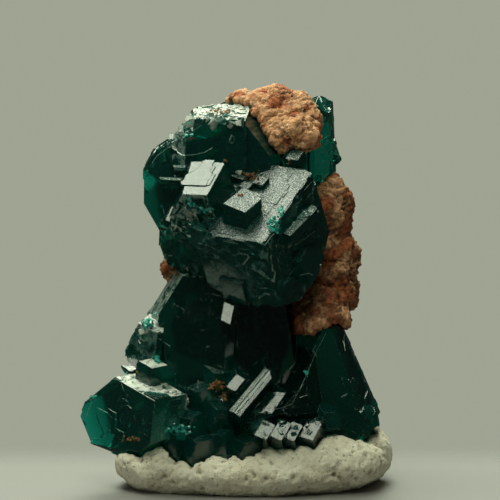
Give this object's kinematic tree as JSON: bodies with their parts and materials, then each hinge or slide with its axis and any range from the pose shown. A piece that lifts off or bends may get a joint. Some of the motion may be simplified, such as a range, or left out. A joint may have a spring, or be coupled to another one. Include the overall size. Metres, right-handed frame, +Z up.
{
  "type": "dioptase specimen",
  "caption": "Dark green dioptase crystals in an upper and a lower cluster on rusty rock, stood upright in a low pat of pale putty.",
  "frame": {"origin": "under the middle of the specimen's box, on the surface that the putty lies on", "axes": "+Z up, along the specimen's height; -Y towards the side that shows the front crystal's tip; +X to the right seen from there"},
  "size_m": [0.0248, 0.0176, 0.0316],
  "materials": {
    "dioptase": "glassy crystal faces, some etched",
    "rock": "rough, crumbly, iron stained",
    "putty": "matt, finger pressed"
  },
  "bodies": {
    "root": {"upper_crystals": "dioptase", "rear_crystals": "dioptase", "lower_crystals": "dioptase", "rock": "rock", "putty": "putty"}
  },
  "joints": []
}
